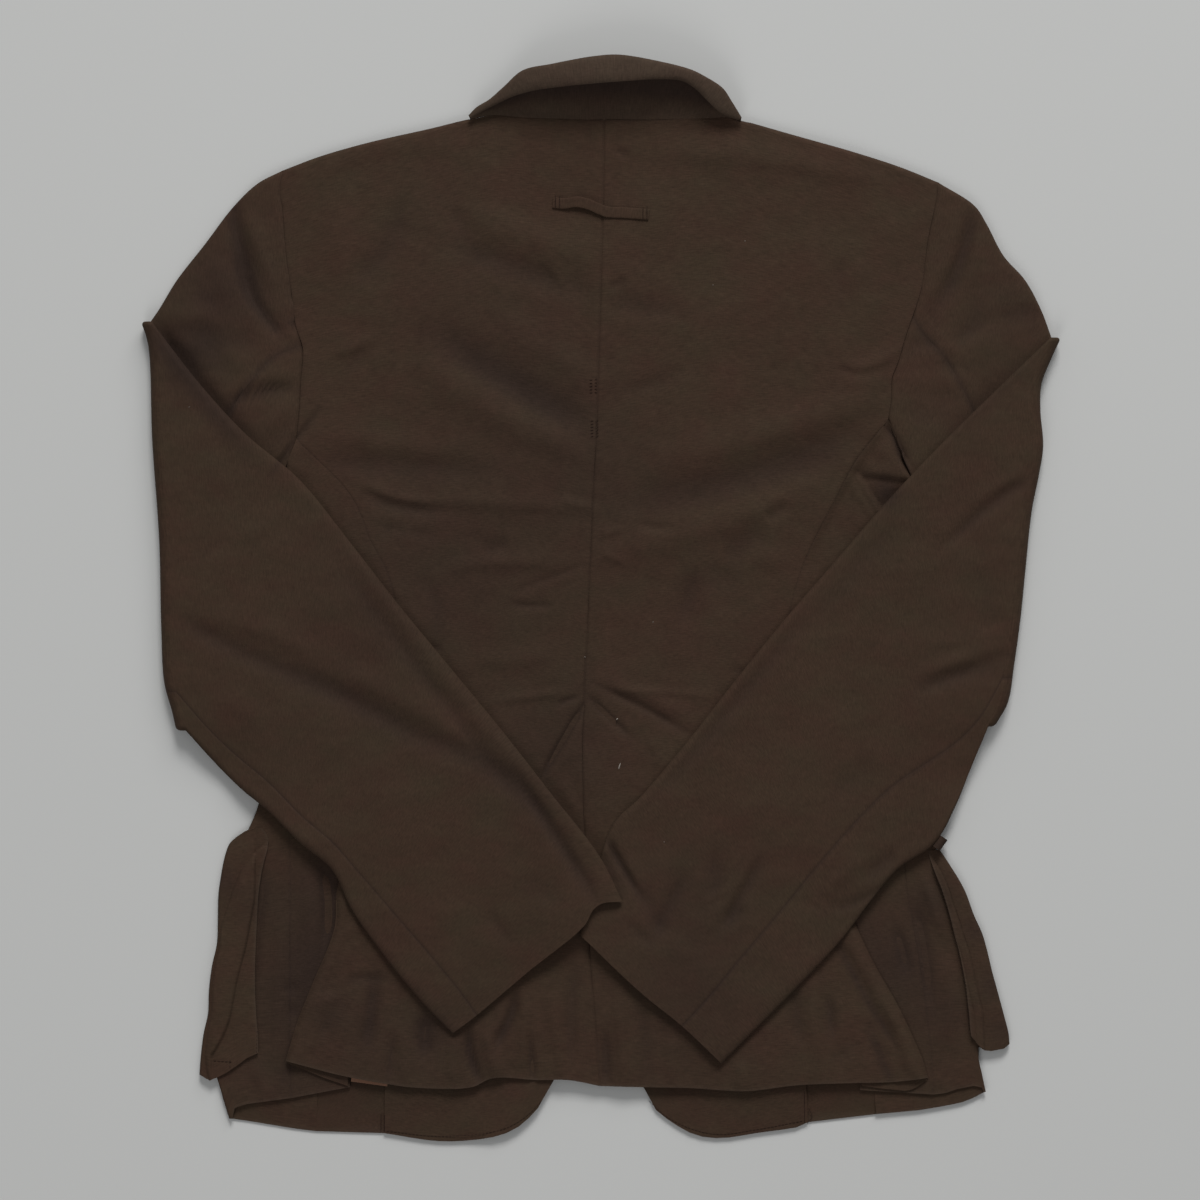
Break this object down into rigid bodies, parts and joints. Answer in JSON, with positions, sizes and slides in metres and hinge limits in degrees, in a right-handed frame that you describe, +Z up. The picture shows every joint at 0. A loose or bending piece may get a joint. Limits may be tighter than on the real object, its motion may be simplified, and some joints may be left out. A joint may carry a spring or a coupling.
{
  "type": "utility jacket",
  "caption": "Women's tailored utility jacket in thin dark brown cloth, laid flat back up with both sleeves folded over the back, pleated flared hem and bellows hip pockets",
  "frame": {"origin": "centre of the bounding box in plan, at the underside", "axes": "+Z up off the surface it lies on, +Y from hem to collar, +X to the wearer's right"},
  "size_m": [0.5786, 0.6832, 0.0272],
  "materials": {
    "shot_cloth": "matt, fine weave",
    "woven_tape": "slightly shiny woven tape"
  },
  "bodies": {
    "root": {"back_left": "shot_cloth", "pleat_left": "shot_cloth", "side_back_left": "shot_cloth", "side_front_left": "shot_cloth", "front_left": "shot_cloth", "facing_left": "shot_cloth", "top_sleeve_left": "shot_cloth", "under_sleeve_left": "shot_cloth", "pocket_left": "shot_cloth", "back_right": "shot_cloth", "pleat_right": "shot_cloth", "side_back_right": "shot_cloth", "side_front_right": "shot_cloth", "front_right": "shot_cloth", "facing_right": "shot_cloth", "top_sleeve_right": "shot_cloth", "under_sleeve_right": "shot_cloth", "pocket_right": "shot_cloth", "collar_stand": "shot_cloth", "collar_leaf": "shot_cloth", "hanging_loop": "shot_cloth", "care_tape": "woven_tape", "waist_tab_right": "shot_cloth"}
  },
  "joints": []
}
